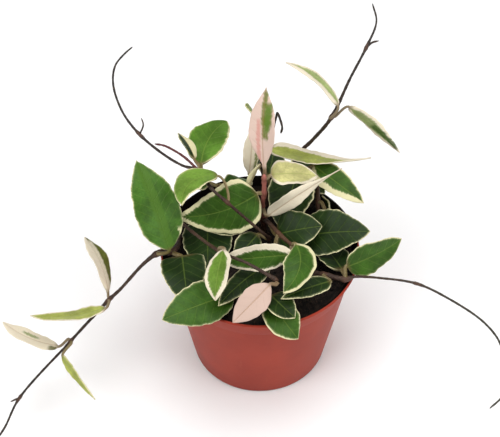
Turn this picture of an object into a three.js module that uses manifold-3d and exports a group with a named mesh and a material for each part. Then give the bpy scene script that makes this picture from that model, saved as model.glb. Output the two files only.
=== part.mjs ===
// Potted hoya: a twining vine with thick cream-edged leaves, in a thin terracotta-coloured plastic pot.
// Millimetres, +Z up. The origin is the centre of the pot's underside.
import * as THREE from 'three';
import Module from 'manifold-3d';
import { mergeVertices } from 'three/addons/utils/BufferGeometryUtils.js';

const wasm = await Module();
wasm.setup();

// Driving dimensions of the pot.
const POT_HEIGHT = 80;
const RIM_RADIUS = 52.5;
const BASE_RADIUS = 37;
const WALL = 1.4;
const FLOOR = 2;
const BAND_HEIGHT = 12;
const BAND_FLARE = 2;
const BASE_CHAMFER = 1.2;
const FLOOR_CORNER = 1.5;
const POT_SEGMENTS = 48;
const DRAIN_COUNT = 6;
const DRAIN_RADIUS = 4;
const DRAIN_RING_RADIUS = 24;
const DRAIN_SEGMENTS = 12;

// Driving dimensions of the soil and of the holes that the stems stand in.
const SOIL_TOP = 75;
const SOIL_LUMP = 0.8;
const SOIL_RINGS = 6;
const SOIL_SEGMENTS = 32;
const SOIL_MARGIN = 1;
const GAP = 0.3;
const ROOT_DEPTH = 12;
const HOLE_CLEARANCE = 0.6;
const HOLE_SEGMENTS = 8;

// Driving dimensions of stems and leaves.
const STEM_SIDES = 6;
const STEM_STEP = 6;
const NODE_SWELL = 0.35;
const NODE_REACH = 2.6;
const PETIOLE_TAPER = 0.15;
const PETIOLE_EDGE = 0.4;
const PETIOLE_BEND_OUT = 0.15;
const PETIOLE_BEND_IN = 0.3;
const BLADE_THICKNESS = 1.7;
const EDGE_THICKNESS = 0.8;
const TIP_THINNING = 0.45;
const TIP_HALF_WIDTH = 0.5;
const WAVES_ALONG_EDGE = 9;
const WAVE_OFFSET = 2.2;
const TWIST_CENTRE = 0.4;

const COLOURS = {
  pot: 0xa5503f,
  soil: 0x1f1a17,
  stem: 0x5a4036,
  leaf_dark: 0x38552a,
  leaf_green: 0x4d7d33,
  leaf_pale: 0xc3cf94,
  leaf_pink: 0xe6cdc1,
};
const ROUGHNESS = { pot: 0.55, soil: 0.95, stem: 0.6 };
const LEAF_ROUGHNESS = 0.45;

const materials = {};
for (const [name, colour] of Object.entries(COLOURS)) {
  const roughness = ROUGHNESS[name] ?? LEAF_ROUGHNESS;
  materials[name] = new THREE.MeshStandardMaterial({ color: colour, roughness, metalness: 0 });
}

const plant = new THREE.Group();

function addPiece(name, geometry, material) {
  const mesh = new THREE.Mesh(geometry, materials[material]);
  mesh.name = name;
  plant.add(mesh);
}

// Joins and cuts.
function toManifold(geometry) {
  const bare = geometry.clone();
  bare.deleteAttribute('normal');
  bare.deleteAttribute('uv');
  const merged = mergeVertices(bare, 1e-4);
  const vertProperties = new Float32Array(merged.attributes.position.array);
  const triVerts = new Uint32Array(merged.index.array);
  return new wasm.Manifold(new wasm.Mesh({ numProp: 3, vertProperties, triVerts }));
}

function fromManifold(solid) {
  const mesh = solid.getMesh();
  const geometry = new THREE.BufferGeometry();
  geometry.setAttribute('position', new THREE.BufferAttribute(new Float32Array(mesh.vertProperties), 3));
  geometry.setIndex(new THREE.BufferAttribute(new Uint32Array(mesh.triVerts), 1));
  return geometry;
}

function uprightCylinder(radius, x, y, bottom, top, segments) {
  const geometry = new THREE.CylinderGeometry(radius, radius, top - bottom, segments);
  geometry.rotateX(Math.PI / 2);
  geometry.translate(x, y, (bottom + top) / 2);
  return geometry;
}

// A closed solid through rings of equal point count, with a flat cap at each end.
// Every quad between two rings is split along the same diagonal, on both faces of a blade.
function ringSolid(rings, splitOtherWay = () => false) {
  const count = rings[0].length;
  const positions = [];
  for (const ring of rings) {
    for (const point of ring) positions.push(point.x, point.y, point.z);
  }
  const index = [];
  for (let i = 0; i + 1 < rings.length; i++) {
    for (let j = 0; j < count; j++) {
      const a = i * count + j;
      const b = i * count + ((j + 1) % count);
      const c = a + count;
      const d = b + count;
      if (splitOtherWay(j)) {
        index.push(a, b, c, b, d, c);
      } else {
        index.push(a, b, d, a, d, c);
      }
    }
  }
  const last = (rings.length - 1) * count;
  for (let j = 1; j + 1 < count; j++) {
    index.push(0, j + 1, j);
    index.push(last, last + j, last + j + 1);
  }
  const geometry = new THREE.BufferGeometry();
  geometry.setAttribute('position', new THREE.Float32BufferAttribute(positions, 3));
  geometry.setIndex(index);
  return geometry;
}

// The pot: a thin tapered shell with a slightly flared rim band and drain holes in its floor.
function outerRadius(z) {
  const taper = BASE_RADIUS + (RIM_RADIUS - BAND_FLARE - BASE_RADIUS) * (z / POT_HEIGHT);
  const band = Math.max(0, 1 - (POT_HEIGHT - z) / BAND_HEIGHT);
  return taper + BAND_FLARE * band;
}

function innerRadius(z) {
  return outerRadius(z) - WALL;
}

function makePot() {
  const bandBottom = POT_HEIGHT - BAND_HEIGHT;
  const lip = WALL / 2;
  const profile = [
    [0, 0],
    [BASE_RADIUS - BASE_CHAMFER, 0],
    [BASE_RADIUS, BASE_CHAMFER],
    [outerRadius(bandBottom), bandBottom],
    [RIM_RADIUS, POT_HEIGHT - lip],
    [RIM_RADIUS - lip / 2, POT_HEIGHT],
    [RIM_RADIUS - WALL + lip / 3, POT_HEIGHT],
    [innerRadius(POT_HEIGHT), POT_HEIGHT - lip],
    [innerRadius(bandBottom), bandBottom],
    [innerRadius(FLOOR + FLOOR_CORNER), FLOOR + FLOOR_CORNER],
    [innerRadius(FLOOR) - FLOOR_CORNER, FLOOR],
    [0, FLOOR],
  ];
  const shell = new THREE.LatheGeometry(profile.map(([r, z]) => new THREE.Vector2(r, z)), POT_SEGMENTS);
  shell.rotateX(Math.PI / 2);
  let solid = toManifold(shell);
  for (let i = 0; i < DRAIN_COUNT; i++) {
    const angle = (i / DRAIN_COUNT) * 2 * Math.PI;
    const x = DRAIN_RING_RADIUS * Math.cos(angle);
    const y = DRAIN_RING_RADIUS * Math.sin(angle);
    const drain = uprightCylinder(DRAIN_RADIUS, x, y, -FLOOR, 2 * FLOOR, DRAIN_SEGMENTS);
    solid = solid.subtract(toManifold(drain));
  }
  addPiece('pot', fromManifold(solid), 'pot');
}

// Stems: each runs through its points, a row of x, y, z and radius, and swells at its leaf nodes. One
// that stands in the soil starts at the soil's surface; one that joins another is fused into it.
const stems = {
  crown_stem: {
    points: [[2, 17, 77, 1.6], [2, 16, 84, 1.6], [1, 16, 94, 1.4], [2, 15, 106, 1.2], [2, 15, 117, 1.1],
      [2, 15, 120, 0.9]],
    nodes: [1, 2, 3, 4],
  },
  crown_side_shoot: {
    joins: 'crown_stem',
    points: [[2, 16, 84, 1.3], [5, 7, 91, 1.2], [10, -4, 95, 1.1], [17, -14, 97, 1]],
    nodes: [2, 3],
  },
  upper_left_stem: {
    points: [[5, 6, 77, 1.1], [4.5, 3, 84, 1], [1.7, -0.8, 92, 0.8], [-10, 1.5, 104.5, 0.8],
      [-17, 3, 112, 0.8], [-25, 7.3, 117.8, 0.9], [-32, 21, 117, 0.9], [-40, 25, 116, 0.7], [-50, 31, 118, 0.7],
      [-63, 40, 124, 0.7], [-72.3, 51, 130, 0.6], [-77, 61, 140, 0.6], [-76, 69, 146, 0.55],
      [-71, 74, 150, 0.5], [-67, 77, 152, 0.45]],
    nodes: [1, 4, 6, 9],
  },
  upper_left_shoot: {
    joins: 'upper_left_stem',
    points: [[-32, 21, 117, 0.7], [-39.3, 26, 121.5, 0.65], [-44.4, 28, 124.2, 0.6],
      [-49.8, 32, 123.8, 0.6], [-55, 36, 121, 0.55]],
    nodes: [],
  },
  upper_left_tendril: {
    joins: 'upper_left_stem',
    points: [[-63, 40, 124, 0.5], [-61, 43, 128, 0.45], [-62, 46, 130, 0.4]],
    nodes: [],
  },
  upper_right_stem: {
    points: [[16, 38, 77, 1.3], [17, 42, 86, 1.3], [20, 49, 98, 1.2], [28, 47, 113, 1], [37, 41, 136, 1],
      [46, 49, 156, 0.7], [54, 59, 168, 0.65], [59, 69, 176, 0.5], [57, 76, 182, 0.45]],
    nodes: [1, 4, 6],
  },
  upper_right_nub: {
    joins: 'upper_right_stem',
    points: [[54, 59, 168, 0.7], [57, 60, 170, 0.6], [60, 60, 171, 0.5]],
    nodes: [],
  },
  left_stem: {
    points: [[-42, 9, 77, 1.4], [-43, 5, 80, 1.4], [-43, -2, 84, 1.4], [-46, -8, 86, 1.4],
      [-53, -10, 87, 1.5], [-60, -14, 84, 0.9], [-73, -22, 72, 0.85], [-79, -24, 66, 1],
      [-100, -36, 46, 0.7], [-128, -56, 22, 0.6], [-137, -66.5, 8, 0.6], [-146, -76, 1.2, 0.55],
      [-152, -80, 1, 0.5]],
    nodes: [3, 4, 7, 8, 9],
  },
  left_nub: {
    joins: 'left_stem',
    points: [[-128, -56, 22, 0.6], [-130, -56.5, 21.6, 0.55], [-132.5, -57.5, 21, 0.5]],
    nodes: [],
  },
  front_left_stem: {
    points: [[-38, 20, 77, 1.1], [-41, 17, 82, 1.1], [-41, 10, 88, 0.9], [-33, -2, 92, 0.85],
      [-20.5, -21, 101.4, 1], [-14, -27, 104, 0.8], [-8, -30, 104, 0.8], [0, -34, 102, 0.9],
      [8.7, -37, 97.6, 1.2]],
    nodes: [4, 8],
  },
  right_stem: {
    points: [[21, -16, 77, 1.5], [25, -18, 81, 1.5], [33, -22, 84, 1.3], [43.7, -24, 83, 1.4],
      [48.5, -23.3, 84, 0.75], [61.8, -25.8, 86, 0.6], [79.9, -29.5, 86, 0.6], [97, -33.2, 78, 0.6],
      [116.2, -35.8, 62, 0.6], [126.5, -38.5, 47, 0.6], [131, -43.5, 30, 0.6], [130.3, -51.2, 18, 0.55],
      [123.7, -55.1, 11, 0.5]],
    nodes: [2, 3, 6],
  },
  front_stem: {
    points: [[0, -27, 77, 1.2], [0, -31, 80.5, 1.1], [0, -34.5, 84, 1]],
    nodes: [1, 2],
  },
  back_stem: {
    points: [[4, 34, 77, 1.3], [4, 36, 84, 1.3], [2, 37, 96, 1.2], [1, 37, 105, 1.1], [3, 36, 115, 1],
      [6, 35, 130, 0.8], [8, 35, 141, 0.6], [8.7, 32.5, 146.8, 0.6], [10, 29, 145.6, 0.6],
      [11, 26.5, 142.5, 0.55], [10.4, 26.5, 138.5, 0.8]],
    nodes: [1, 3, 4],
  },
  back_right_stem: {
    points: [[32, 18, 77, 1.2], [31, 25, 88, 1.2], [30, 32, 96, 1.1], [24.5, 36, 101.5, 1]],
    nodes: [0, 1, 3],
  },
  back_left_stem: {
    points: [[-20, 24, 77, 1.2], [-22, 28, 84, 1.1], [-22, 32, 93, 1]],
    nodes: [1, 2],
  },
};

function smoothCurve(points) {
  const path = points.map(([x, y, z]) => new THREE.Vector3(x, y, z));
  return new THREE.CatmullRomCurve3(path, false, 'centripetal');
}

// A ring of points at every given point of the stem, with more between them where they stand far apart.
function stemGeometry(stem) {
  const [x, y, z, rootRadius] = stem.points[0];
  const root = stem.joins ? [] : [ROOT_DEPTH, ROOT_DEPTH / 2].map((depth) => [x, y, z - depth, rootRadius]);
  const points = [...root, ...stem.points];
  const curve = smoothCurve(points);
  const spans = points.length - 1;
  const stations = [0];
  for (let i = 0; i < spans; i++) {
    const gap = new THREE.Vector3(...points[i]).distanceTo(new THREE.Vector3(...points[i + 1]));
    const steps = Math.max(1, Math.round(gap / STEM_STEP));
    for (let k = 1; k <= steps; k++) stations.push((i + k / steps) / spans);
  }
  const nodePoints = stem.nodes.map((node) => new THREE.Vector3(...stem.points[node]));
  const normal = new THREE.Vector3(1, 0, 0);
  const rings = stations.map((t) => {
    const centre = curve.getPoint(t);
    const tangent = curve.getTangent(t);
    normal.addScaledVector(tangent, -normal.dot(tangent)).normalize();
    const binormal = new THREE.Vector3().crossVectors(tangent, normal);
    const span = Math.min(spans - 1, Math.floor(t * spans));
    let radius = THREE.MathUtils.lerp(points[span][3], points[span + 1][3], t * spans - span);
    for (const node of nodePoints) {
      radius += NODE_SWELL * Math.exp(-((centre.distanceTo(node) / NODE_REACH) ** 2));
    }
    const ring = [];
    for (let j = 0; j < STEM_SIDES; j++) {
      const angle = (j / STEM_SIDES) * 2 * Math.PI;
      const point = centre.clone().addScaledVector(normal, Math.cos(angle) * radius);
      ring.push(point.addScaledVector(binormal, Math.sin(angle) * radius));
    }
    return ring;
  });
  return ringSolid(rings);
}

function makeStems() {
  for (const [name, stem] of Object.entries(stems)) {
    if (stem.joins) continue;
    let solid = toManifold(stemGeometry(stem));
    for (const shoot of Object.values(stems)) {
      if (shoot.joins === name) solid = solid.add(toManifold(stemGeometry(shoot)));
    }
    addPiece(name, fromManifold(solid), 'stem');
  }
}

// The soil: fills the pot, lumpy on top, with a plain hole for each stem.
function soilHeight(x, y) {
  const broad = Math.sin(x * 0.21 + 1) * Math.cos(y * 0.19);
  const fine = Math.sin(x * 0.5 + y * 0.4);
  return SOIL_TOP + SOIL_LUMP * (broad + 0.4 * fine);
}

function makeSoil() {
  const bottom = FLOOR + GAP;
  const corner = bottom + 2 * FLOOR_CORNER;
  const bandBottom = POT_HEIGHT - BAND_HEIGHT;
  const edge = innerRadius(SOIL_TOP) - GAP;
  const profile = [
    [0, bottom],
    [innerRadius(bottom) - GAP - 2 * FLOOR_CORNER, bottom],
    [innerRadius(corner) - GAP, corner],
    [innerRadius(bandBottom) - GAP, bandBottom],
    [edge, SOIL_TOP],
  ];
  for (let i = SOIL_RINGS - 1; i >= 0; i--) {
    profile.push([(edge - SOIL_MARGIN) * (i / (SOIL_RINGS - 1)), SOIL_TOP]);
  }
  const fill = new THREE.LatheGeometry(profile.map(([r, z]) => new THREE.Vector2(r, z)), SOIL_SEGMENTS);
  fill.rotateX(Math.PI / 2);
  const position = fill.attributes.position;
  for (let i = 0; i < position.count; i++) {
    const x = position.getX(i);
    const y = position.getY(i);
    const onTop = position.getZ(i) > SOIL_TOP - GAP && Math.hypot(x, y) < edge - SOIL_MARGIN / 2;
    if (onTop) position.setZ(i, soilHeight(x, y));
  }
  let solid = toManifold(fill);
  for (const stem of Object.values(stems)) {
    if (stem.joins) continue;
    const [x, y, z, rootRadius] = stem.points[0];
    const radius = rootRadius + HOLE_CLEARANCE;
    const hole = uprightCylinder(radius, x, y, z - ROOT_DEPTH - GAP, POT_HEIGHT, HOLE_SEGMENTS);
    solid = solid.subtract(toManifold(hole));
  }
  addPiece('soil', fromManifold(solid), 'soil');
}

// Leaves. A leaf is one solid: its petiole leaves the stem square, bends over and widens into the blade.
const PETIOLE_STATIONS = [0, 0.5];
const BLADE_STATIONS = [0, 0.06, 0.16, 0.3, 0.45, 0.6, 0.75, 0.88, 0.96, 1];
const ACROSS = [-1, -0.55, 0, 0.55, 1];
const FOOT_END = 0.16;

// A plain leaf's form: its petiole's radius in mm; how far the blade bows up and to its right, as shares of
// its length; its twist in degrees; its cup; the height of its edge's waves, as a share of its width; and
// the two powers of its outline, heel and point.
const PLAIN_LEAF = {
  petiole: 1.1, arch: 0.06, sweep: 0, twist: 0, cup: 0.35, wave: 0.05, heel: 0.44, point: 0.82,
};

// Half width at the share s of the blade's length, as a share of the widest. The smaller its heel, the
// rounder the foot; the larger its point, the longer the tip is drawn out.
function bladeOutline(s, { heel, point }) {
  const widest = heel / (heel + point);
  return (s / widest) ** heel * ((1 - s) / (1 - widest)) ** point;
}

// One ring of points round a leaf: along its upper face from edge to edge, and back along its lower face.
// cup is the angle, in radians, that the section curls up through from midrib to edge.
function leafRing(centre, direction, across, size) {
  const sideways = across.clone().addScaledVector(direction, -across.dot(direction)).normalize();
  const normal = new THREE.Vector3().crossVectors(sideways, direction);
  const { halfWidth, middle, edge, cup = 0, lift = () => 0 } = size;
  const place = (u, face) => {
    const flat = Math.abs(cup) < 1e-3;
    const x = flat ? halfWidth * u : (halfWidth * Math.sin(cup * u)) / cup;
    const rise = flat ? 0 : (halfWidth * (1 - Math.cos(cup * u))) / cup;
    const halfThickness = edge + (middle - edge) * (1 - u * u);
    const height = rise + lift(u) + face * halfThickness;
    return centre.clone().addScaledVector(sideways, x).addScaledVector(normal, height);
  };
  const upper = ACROSS.map((u) => place(u, 1));
  const lower = ACROSS.map((u) => place(u, -1)).reverse();
  return [...upper, ...lower];
}

function petioleCurve(leaf, foot, footDirection) {
  const stem = stems[leaf.stem];
  const anchor = new THREE.Vector3(...stem.points[leaf.node]);
  const tangent = smoothCurve(stem.points).getTangent(leaf.node / (stem.points.length - 1));
  const exit = foot.clone().sub(anchor);
  exit.addScaledVector(tangent, -exit.dot(tangent)).normalize();
  const start = anchor.addScaledVector(exit, stem.points[leaf.node][3] + NODE_SWELL + GAP);
  const reach = start.distanceTo(foot);
  const bendOut = start.clone().addScaledVector(exit, reach * PETIOLE_BEND_OUT);
  const bendIn = foot.clone().addScaledVector(footDirection, -reach * PETIOLE_BEND_IN);
  return new THREE.CubicBezierCurve3(start, bendOut, bendIn, foot);
}

function leafGeometry(leaf) {
  const { smoothstep, lerp, degToRad } = THREE.MathUtils;
  const foot = new THREE.Vector3(...leaf.foot);
  const along = new THREE.Vector3(...leaf.tip).sub(foot);
  const length = along.length();
  along.normalize();
  const level = new THREE.Vector3().crossVectors(along, new THREE.Vector3(0, 0, 1)).normalize();
  const side = level.applyAxisAngle(along, degToRad(leaf.roll));
  const up = new THREE.Vector3().crossVectors(side, along);
  const midrib = (s) => {
    const bulge = 4 * s * (1 - s) * length;
    const point = foot.clone().addScaledVector(along, s * length);
    return point.addScaledVector(up, bulge * leaf.arch).addScaledVector(side, bulge * leaf.sweep);
  };
  const heading = (s) => midrib(Math.min(1, s + 0.01)).sub(midrib(Math.max(0, s - 0.01))).normalize();

  const petiole = petioleCurve(leaf, foot, heading(0));
  const rings = PETIOLE_STATIONS.map((t) => {
    const radius = leaf.petiole * (1 - PETIOLE_TAPER * t);
    const size = { halfWidth: radius, middle: radius, edge: radius * PETIOLE_EDGE };
    return leafRing(petiole.getPoint(t), petiole.getTangent(t), side, size);
  });
  for (const s of BLADE_STATIONS) {
    const fullness = bladeOutline(s, leaf);
    const narrowest = s < 0.5 ? leaf.petiole : TIP_HALF_WIDTH;
    const thinned = smoothstep(s, 0, FOOT_END);
    const middle = lerp(leaf.petiole, BLADE_THICKNESS / 2, thinned) * (1 - TIP_THINNING * s * s);
    const edge = Math.min(middle, lerp(leaf.petiole * PETIOLE_EDGE, EDGE_THICKNESS / 2, thinned));
    const wave = leaf.wave * leaf.width * fullness;
    const phase = (u) => s * WAVES_ALONG_EDGE + (u > 0 ? 0 : WAVE_OFFSET) + leaf.width;
    const lift = (u) => wave * u * u * Math.sin(phase(u));
    const halfWidth = Math.max(narrowest, (fullness * leaf.width) / 2);
    const across = side.clone().applyAxisAngle(along, degToRad(leaf.twist * (s - TWIST_CENTRE)));
    const size = { halfWidth, middle, edge, cup: leaf.cup * fullness, lift };
    rings.push(leafRing(midrib(s), heading(s), across, size));
  }
  const lowerFace = (j) => j >= ACROSS.length;
  return ringSolid(rings, lowerFace);
}

// Each row: name, colour, stem, point of the stem that it grows from, foot and tip of the blade, width
// (all in mm), roll about its own length in degrees, and where it isn't a plain leaf, its own bends.
const leaves = [
  // Left of the pot, on the stem that trails left.
  ['left_leaf_1', 'leaf_green', 'left_stem', 4, [-47, -12, 92], [-64, 23, 122], 26, 5,
    { heel: 0.74, point: 1 }],
  ['trail_leaf_1', 'leaf_pale', 'left_stem', 7, [-80, -19, 66], [-93, 7, 80], 14.5, 45,
    { petiole: 0.8, heel: 0.9, point: 0.8, sweep: 0.02 }],
  ['trail_leaf_2', 'leaf_pale', 'left_stem', 7, [-80.7, -29.8, 65.8], [-120, -31, 61.5], 13, 25,
    { petiole: 0.8, arch: -0.05, sweep: -0.05 }],
  ['trail_leaf_3', 'leaf_pale', 'left_stem', 8, [-107, -37.5, 43], [-136, -28, 52], 14, 25,
    { petiole: 0.8, arch: -0.04, sweep: -0.08, heel: 0.6 }],
  ['trail_leaf_4', 'leaf_dark', 'left_stem', 8, [-104, -43, 42], [-86, -65, 34], 6, 70,
    { petiole: 0.8, sweep: -0.05, point: 1 }],
  // Upper left node.
  ['upper_left_leaf_1', 'leaf_green', 'upper_left_stem', 6, [-30.8, 29.9, 112], [-17.7, 62.1, 112], 21, 0,
    { sweep: -0.08, heel: 0.62, point: 0.72 }],
  ['upper_left_leaf_2', 'leaf_dark', 'upper_left_stem', 6, [-34.3, 25.8, 120.4], [-43, 42, 123], 9, 35,
    { petiole: 0.8, heel: 0.6 }],
  ['upper_left_leaf_3', 'leaf_green', 'upper_left_stem', 4, [-22, 14, 120], [-39.5, -6.4, 120], 16.5, 9,
    { petiole: 0.75, sweep: 0.24 }],
  // Crown.
  ['crown_leaf_1', 'leaf_pink', 'crown_stem', 4, [2.2, 17.6, 122], [2.9, 40.5, 157], 16, -27,
    { heel: 1.3, point: 1.25 }],
  ['crown_leaf_2', 'leaf_pink', 'back_stem', 3, [-5.8, 30, 105], [-3.8, 37, 132], 9, 20,
    { heel: 0.8 }],
  ['crown_leaf_3', 'leaf_pale', 'back_stem', 4, [2.1, 44, 116], [-7.6, 44, 141], 12, 20,
    { heel: 0.7, point: 0.5 }],
  ['crown_leaf_4', 'leaf_pale', 'crown_stem', 4, [5.6, 16.4, 117.8], [30, 22, 111], 17, 5, { heel: 0.42 }],
  ['crown_leaf_5', 'leaf_green', 'crown_stem', 3, [-1.8, 14.6, 106], [-44, 5, 99], 29, -60,
    { cup: 0.2, point: 1.1, sweep: -0.07 }],
  ['crown_leaf_6', 'leaf_pink', 'crown_stem', 2, [4.4, 7, 98], [41.6, 14.5, 125], 10, 72,
    { heel: 0.6, point: 1.9, sweep: -0.05, wave: 0.14 }],
  ['crown_leaf_7', 'leaf_dark', 'back_right_stem', 3, [19.7, 36, 98], [11.7, 8, 84], 25, 0],
  ['crown_leaf_8', 'leaf_dark', 'crown_side_shoot', 1, [9, 1, 89], [32, -1, 98], 22, 25],
  ['crown_leaf_9', 'leaf_pale', 'back_stem', 3, [6, 44.2, 109.5], [57.8, 30, 117], 19, -22,
    { arch: -0.075, twist: -25, point: 1.4 }],
  ['crown_leaf_10', 'leaf_dark', 'crown_stem', 2, [-5, 12, 93], [-29, 4, 90], 17, -35],
  ['crown_leaf_11', 'leaf_dark', 'upper_left_stem', 1, [-1.5, 3, 86.5], [-13, -11.6, 83], 14, -20,
    { heel: 0.6 }],
  ['crown_leaf_12', 'leaf_pale', 'crown_stem', 2, [-6.3, 18.8, 107], [-0.1, 21.5, 121], 4.5, -80],
  // Front.
  ['front_leaf_1', 'leaf_green', 'crown_side_shoot', 3, [18, -15.5, 100.5], [11.3, -42.9, 95], 17.5, 10,
    { cup: 0.5, sweep: -0.2, heel: 0.8, point: 0.9 }],
  ['front_leaf_2', 'leaf_pale', 'crown_side_shoot', 3, [17.4, -19.4, 97.5], [-20, -24.5, 98], 15, -60,
    { heel: 0.75, sweep: 0.03 }],
  ['front_leaf_3', 'leaf_pale', 'front_left_stem', 4, [-18.2, -23.2, 105.2], [-22.5, -48.4, 96], 14.5, 25,
    { heel: 0.65 }],
  ['front_leaf_4', 'leaf_pink', 'front_left_stem', 8, [4.6, -39.3, 97.6], [-13.9, -55.9, 88], 14.5, -32,
    { heel: 0.72, point: 0.9 }],
  ['front_leaf_5', 'leaf_dark', 'crown_side_shoot', 2, [3.9, -17.8, 87], [-21.1, -46.5, 89.5], 13, -10,
    { arch: 0, sweep: 0.04, cup: 0.1 }],
  ['front_leaf_6', 'leaf_green', 'front_stem', 2, [-14, -34.6, 84], [-49, -54.2, 88], 23, -20,
    { arch: 0.04, heel: 0.65 }],
  ['front_leaf_7', 'leaf_green', 'front_stem', 2, [5.9, -41.6, 84], [18.9, -55.9, 74.5], 18.5, 10,
    { arch: 0.14, sweep: 0.05 }],
  ['front_leaf_8', 'leaf_dark', 'front_stem', 1, [5.3, -38.9, 87.6], [17.2, -51.6, 86.2], 17, -5,
    { sweep: 0.05 }],
  // Right.
  ['right_leaf_1', 'leaf_green', 'right_stem', 3, [44.5, -20, 89], [73, -6, 94], 19, 70],
  ['right_leaf_2', 'leaf_dark', 'right_stem', 3, [42, -18, 83], [31, 4, 79], 17, 10],
  ['right_leaf_3', 'leaf_dark', 'right_stem', 2, [35.2, -30, 88], [10.2, -42.9, 90.5], 10.5, -15],
  ['right_leaf_4', 'leaf_dark', 'back_right_stem', 0, [21, 3, 85], [57, -2, 95], 26, 20],
  ['right_leaf_5', 'leaf_dark', 'back_right_stem', 3, [28.7, 36, 104.2], [54, 12.5, 101], 14.5, 25,
    { arch: 0.03 }],
  // Left, low in the pot.
  ['low_left_leaf_1', 'leaf_dark', 'back_left_stem', 1, [-28, 16, 82], [-27, -22, 80], 27, 0],
  ['low_left_leaf_2', 'leaf_dark', 'left_stem', 3, [-40.5, -12, 86.5], [-36.5, -44, 86], 24, 0,
    { heel: 0.3 }],
  // Upper right runner.
  ['upper_right_leaf_1', 'leaf_pale', 'upper_right_stem', 4, [39.5, 39, 146], [13, 56, 160], 8.5, 15,
    { petiole: 0.75, heel: 0.5, sweep: 0.08 }],
  ['upper_right_leaf_2', 'leaf_green', 'upper_right_stem', 4, [46, 44, 140], [72, 27, 124], 9.5, -90,
    { petiole: 0.75, sweep: -0.035 }],
  // Back.
  ['back_leaf_1', 'leaf_dark', 'back_stem', 1, [5, 44, 88], [8, 68, 84], 18, 10],
  ['back_leaf_2', 'leaf_green', 'back_left_stem', 2, [-18, 35, 89], [-4, 44, 83], 15, -10],
  ['back_leaf_3', 'leaf_dark', 'back_left_stem', 2, [-27, 35, 92], [-43, 38, 89], 14, 0],
  ['back_leaf_4', 'leaf_dark', 'upper_right_stem', 1, [22.6, 42.4, 89.6], [35, 32, 87], 14, 0],
  ['back_leaf_5', 'leaf_dark', 'back_right_stem', 0, [37.5, 21.5, 84], [33.5, 30, 87.5], 8, 75],
  ['back_leaf_6', 'leaf_dark', 'upper_right_stem', 1, [21, 47.8, 87.5], [30, 64, 83], 15, 0],
  ['back_leaf_7', 'leaf_dark', 'back_right_stem', 1, [38, 15, 82], [49, 1, 82], 12, 0],
];

makePot();
makeSoil();
makeStems();
for (const [name, colour, stem, node, foot, tip, width, roll, bends] of leaves) {
  addPiece(name, leafGeometry({ ...PLAIN_LEAF, stem, node, foot, tip, width, roll, ...bends }), colour);
}

export default plant;
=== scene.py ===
# Potted hoya: a twining plant with thick pale-edged leaves, in a thin terracotta-coloured plastic pot.
# Metres, with the stems and leaves worked out in millimetres first. +Z is up, and the origin is at the
# centre of the pot's underside.
import math
import random

import bmesh
import bpy
from mathutils import Euler, Matrix, Vector, noise


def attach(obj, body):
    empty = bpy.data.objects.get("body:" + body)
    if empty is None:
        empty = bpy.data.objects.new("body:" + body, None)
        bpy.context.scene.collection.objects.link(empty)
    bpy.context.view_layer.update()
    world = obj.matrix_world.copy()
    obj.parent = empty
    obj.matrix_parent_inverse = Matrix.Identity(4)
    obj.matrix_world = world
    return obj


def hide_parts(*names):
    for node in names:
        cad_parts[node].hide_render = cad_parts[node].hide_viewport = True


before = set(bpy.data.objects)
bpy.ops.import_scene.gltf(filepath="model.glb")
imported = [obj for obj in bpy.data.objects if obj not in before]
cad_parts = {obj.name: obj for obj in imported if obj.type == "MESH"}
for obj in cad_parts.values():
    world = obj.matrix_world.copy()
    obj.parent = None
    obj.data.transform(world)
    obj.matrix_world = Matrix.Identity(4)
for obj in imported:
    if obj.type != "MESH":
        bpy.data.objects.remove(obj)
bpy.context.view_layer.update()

# ---------------------------------------------------------------- the pot
# A nursery pot moulded in one piece from terracotta-coloured plastic, satin and slightly scuffed. Its
# wall tapers to the foot, a band under the rim flares out, and drain holes go through its floor.
MM = 0.001
POT_HEIGHT = 80 * MM
RIM_RADIUS = 52.5 * MM
BASE_RADIUS = 37 * MM
WALL = 1.4 * MM
FLOOR = 2 * MM
BAND_HEIGHT = 12 * MM
BAND_FLARE = 2 * MM
CHAMFER = 1.2 * MM
FLOOR_CORNER = 1.5 * MM
SHARP_EDGE = math.radians(8)
EDGE_ROUNDING = 0.25 * MM
TURNING_STEPS = 144
DRAIN_COUNT = 6
DRAIN_RADIUS = 4 * MM
DRAIN_RING_RADIUS = 24 * MM
DRAIN_SIDES = 32
PLASTIC, PLASTIC_PALE, SCUFF = (144, 48, 32), (158, 59, 42), (205, 130, 110)
# Painted shade, with some soil staining: the near-black for inside the pot.
# Painted shade: the dark colour for the pot's foot.
FOOT_SHADE, SHADE_AND_SOIL_STAIN = (70, 26, 20), (20, 14, 12)
FOOT_SHADE_HEIGHTS = (0.4 * MM, 1.6 * MM)
# Where the lip behind the plant is painted with shade.
LIP_SHADE_HEIGHTS = (78.4 * MM, 79.4 * MM)
LIP_SHADE_DEPTHS = (-8 * MM, 16 * MM)


def outer_radius(z):
    """The pot's outer radius at a height: a straight taper, and the band that flares out to the rim."""
    taper = BASE_RADIUS + (RIM_RADIUS - BAND_FLARE - BASE_RADIUS) * (z / POT_HEIGHT)
    up_band = max(0.0, 1 - (POT_HEIGHT - z) / BAND_HEIGHT)
    return taper + BAND_FLARE * up_band


def inner_radius(z):
    return outer_radius(z) - WALL


def turned(profile, steps):
    """A closed round solid, turned about the pot's axis from a profile that starts and ends on it."""
    work = bmesh.new()
    corners = [work.verts.new((r, 0, z)) for r, z in profile]
    lines = [work.edges.new(pair) for pair in zip(corners, corners[1:])]
    bmesh.ops.spin(work, geom=corners + lines, cent=(0, 0, 0), axis=(0, 0, 1), angle=2 * math.pi,
                   steps=steps, use_merge=True)
    bmesh.ops.remove_doubles(work, verts=work.verts, dist=1e-7)
    bmesh.ops.dissolve_degenerate(work, dist=1e-7, edges=work.edges)
    bmesh.ops.recalc_face_normals(work, faces=work.faces)
    return work


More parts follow.
